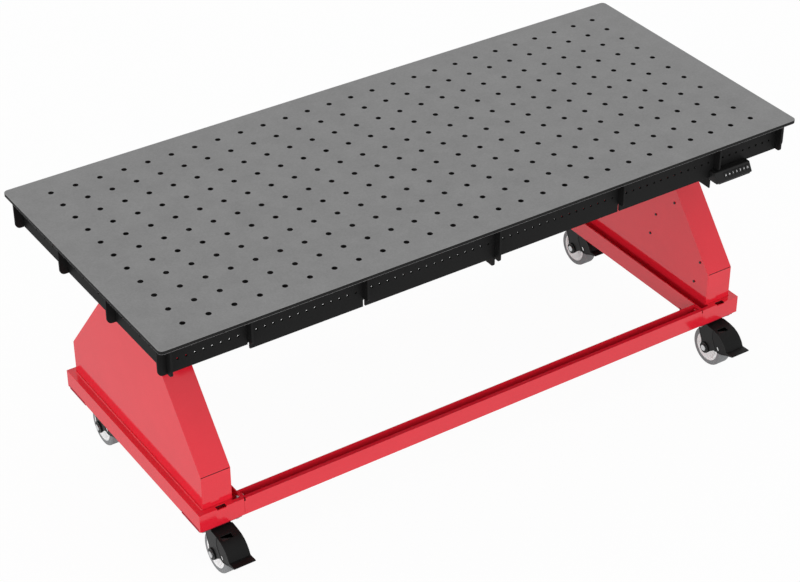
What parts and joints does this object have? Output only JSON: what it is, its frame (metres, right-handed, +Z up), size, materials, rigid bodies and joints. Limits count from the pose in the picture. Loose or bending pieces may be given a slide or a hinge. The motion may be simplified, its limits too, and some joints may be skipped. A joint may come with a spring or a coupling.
{
  "type": "height-adjustable assembly table",
  "caption": "Long perforated steel table top on a black egg-crate frame, lifted by two enclosed telescopic columns on a red wheeled base with braked swivel casters.",
  "frame": {"origin": "on the floor under the middle of the overall box, 26 mm in front of the middle of the table top", "axes": "+X along the long side towards the control panel's end, +Z up, -Y towards the front (the side with the control panel)"},
  "size_m": [2.09, 0.964, 0.84],
  "materials": {
    "red_paint": "satin powder coat, signal red",
    "black_paint": "satin powder coat, black",
    "plate_steel": "dull grey, finely mottled coated steel",
    "column_steel": "satin dark grey",
    "bright_steel": "ground and hard-chromed rod",
    "zinc_steel": "zinc plated, satin",
    "black_steel": "black oxide",
    "caster_black": "black pressed steel, satin",
    "pedal_black": "black, fine grain",
    "tread_grey": "grey elastic tread",
    "hub_plastic": "light moulded nylon",
    "panel_plastic": "black moulded plastic, fine grain",
    "key_plastic": "black with white printed symbols",
    "unit_steel": "grey enamel"
  },
  "bodies": {
    "base": {"left_end_frame": "red_paint", "right_end_frame": "red_paint", "front_beam": "red_paint", "rear_beam": "red_paint", "left_pedestal_shell": "red_paint", "right_pedestal_shell": "red_paint", "left_pedestal_cover": "red_paint", "right_pedestal_cover": "red_paint", "cover_screws": "black_steel", "left_column_outer": "column_steel", "right_column_outer": "column_steel", "base_bolts": "zinc_steel", "lift_cylinders": "unit_steel", "power_unit": "unit_steel", "control_unit": "panel_plastic", "caster_top_plates": "zinc_steel", "caster_bolts": "zinc_steel"},
    "middle_stages": {"left_column_mid": "column_steel", "right_column_mid": "column_steel"},
    "top": {"table_plate": "plate_steel", "front_rail": "black_paint", "rear_rail": "black_paint", "inner_rails": "black_paint", "end_ribs": "black_paint", "cross_ribs": "black_paint", "centre_rib": "black_paint", "left_column_inner": "column_steel", "right_column_inner": "column_steel", "column_heads": "black_paint", "lift_rods": "bright_steel", "panel_housing": "panel_plastic", "panel_bracket": "black_paint", "frame_bolts": "black_steel"},
    "front_left_caster": {"front_left_fork": "caster_black", "front_left_axle": "zinc_steel"},
    "front_left_wheel": {"front_left_tyre": "tread_grey", "front_left_hub": "hub_plastic"},
    "front_left_brake": {"front_left_pedal": "pedal_black"},
    "front_right_caster": {"front_right_fork": "caster_black", "front_right_axle": "zinc_steel"},
    "front_right_wheel": {"front_right_tyre": "tread_grey", "front_right_hub": "hub_plastic"},
    "front_right_brake": {"front_right_pedal": "pedal_black"},
    "rear_left_caster": {"rear_left_fork": "caster_black", "rear_left_axle": "zinc_steel"},
    "rear_left_wheel": {"rear_left_tyre": "tread_grey", "rear_left_hub": "hub_plastic"},
    "rear_left_brake": {"rear_left_pedal": "pedal_black"},
    "rear_right_caster": {"rear_right_fork": "caster_black", "rear_right_axle": "zinc_steel"},
    "rear_right_wheel": {"rear_right_tyre": "tread_grey", "rear_right_hub": "hub_plastic"},
    "rear_right_brake": {"rear_right_pedal": "pedal_black"},
    "key_up": {"key_up": "key_plastic"},
    "key_down": {"key_down": "key_plastic"},
    "key_one": {"key_one": "key_plastic"},
    "key_two": {"key_two": "key_plastic"},
    "key_three": {"key_three": "key_plastic"},
    "key_four": {"key_four": "key_plastic"},
    "key_store": {"key_store": "key_plastic"}
  },
  "joints": [
    {"name": "table_lift", "type": "slide", "parent": "base", "child": "top", "axis": [0, 0, 1], "range_m": [0, 0.4]},
    {"name": "middle_lift", "type": "slide", "parent": "base", "child": "middle_stages", "axis": [0, 0, 1], "range_m": [0, 0.2]},
    {"name": "front_left_swivel", "type": "hinge", "parent": "base", "child": "front_left_caster", "pos_m": [-0.869, -0.312, 0.15], "axis": [0, 0, 1], "continuous": true},
    {"name": "front_left_roll", "type": "hinge", "parent": "front_left_caster", "child": "front_left_wheel", "pos_m": [-0.869, -0.353, 0.0625], "axis": [1, 0, 0], "continuous": true},
    {"name": "front_left_brake_pedal", "type": "hinge", "parent": "front_left_caster", "child": "front_left_brake", "pos_m": [-0.869, -0.394, 0.136], "axis": [1, 0, 0], "range_deg": [0, 8]},
    {"name": "front_right_swivel", "type": "hinge", "parent": "base", "child": "front_right_caster", "pos_m": [0.869, -0.312, 0.15], "axis": [0, 0, 1], "continuous": true},
    {"name": "front_right_roll", "type": "hinge", "parent": "front_right_caster", "child": "front_right_wheel", "pos_m": [0.869, -0.353, 0.0625], "axis": [1, 0, 0], "continuous": true},
    {"name": "front_right_brake_pedal", "type": "hinge", "parent": "front_right_caster", "child": "front_right_brake", "pos_m": [0.869, -0.394, 0.136], "axis": [1, 0, 0], "range_deg": [0, 8]},
    {"name": "rear_left_swivel", "type": "hinge", "parent": "base", "child": "rear_left_caster", "pos_m": [-0.869, 0.364, 0.15], "axis": [0, 0, 1], "continuous": true},
    {"name": "rear_left_roll", "type": "hinge", "parent": "rear_left_caster", "child": "rear_left_wheel", "pos_m": [-0.869, 0.323, 0.0625], "axis": [1, 0, 0], "continuous": true},
    {"name": "rear_left_brake_pedal", "type": "hinge", "parent": "rear_left_caster", "child": "rear_left_brake", "pos_m": [-0.869, 0.282, 0.136], "axis": [1, 0, 0], "range_deg": [0, 8]},
    {"name": "rear_right_swivel", "type": "hinge", "parent": "base", "child": "rear_right_caster", "pos_m": [0.869, 0.364, 0.15], "axis": [0, 0, 1], "continuous": true},
    {"name": "rear_right_roll", "type": "hinge", "parent": "rear_right_caster", "child": "rear_right_wheel", "pos_m": [0.869, 0.323, 0.0625], "axis": [1, 0, 0], "continuous": true},
    {"name": "rear_right_brake_pedal", "type": "hinge", "parent": "rear_right_caster", "child": "rear_right_brake", "pos_m": [0.869, 0.282, 0.136], "axis": [1, 0, 0], "range_deg": [0, 8]},
    {"name": "key_up_press", "type": "slide", "parent": "top", "child": "key_up", "axis": [0, 0.8746, -0.4848], "range_m": [0, 0.001], "stiffness_N_per_m": 400, "springref_m": -0.001},
    {"name": "key_down_press", "type": "slide", "parent": "top", "child": "key_down", "axis": [0, 0.8746, -0.4848], "range_m": [0, 0.001], "stiffness_N_per_m": 400, "springref_m": -0.001},
    {"name": "key_one_press", "type": "slide", "parent": "top", "child": "key_one", "axis": [0, 0.8746, -0.4848], "range_m": [0, 0.001], "stiffness_N_per_m": 400, "springref_m": -0.001},
    {"name": "key_two_press", "type": "slide", "parent": "top", "child": "key_two", "axis": [0, 0.8746, -0.4848], "range_m": [0, 0.001], "stiffness_N_per_m": 400, "springref_m": -0.001},
    {"name": "key_three_press", "type": "slide", "parent": "top", "child": "key_three", "axis": [0, 0.8746, -0.4848], "range_m": [0, 0.001], "stiffness_N_per_m": 400, "springref_m": -0.001},
    {"name": "key_four_press", "type": "slide", "parent": "top", "child": "key_four", "axis": [0, 0.8746, -0.4848], "range_m": [0, 0.001], "stiffness_N_per_m": 400, "springref_m": -0.001},
    {"name": "key_store_press", "type": "slide", "parent": "top", "child": "key_store", "axis": [0, 0.8746, -0.4848], "range_m": [0, 0.001], "stiffness_N_per_m": 400, "springref_m": -0.001}
  ],
  "couplings": [
    {"joint": "middle_lift", "follows": "table_lift", "ratio": 0.5}
  ]
}
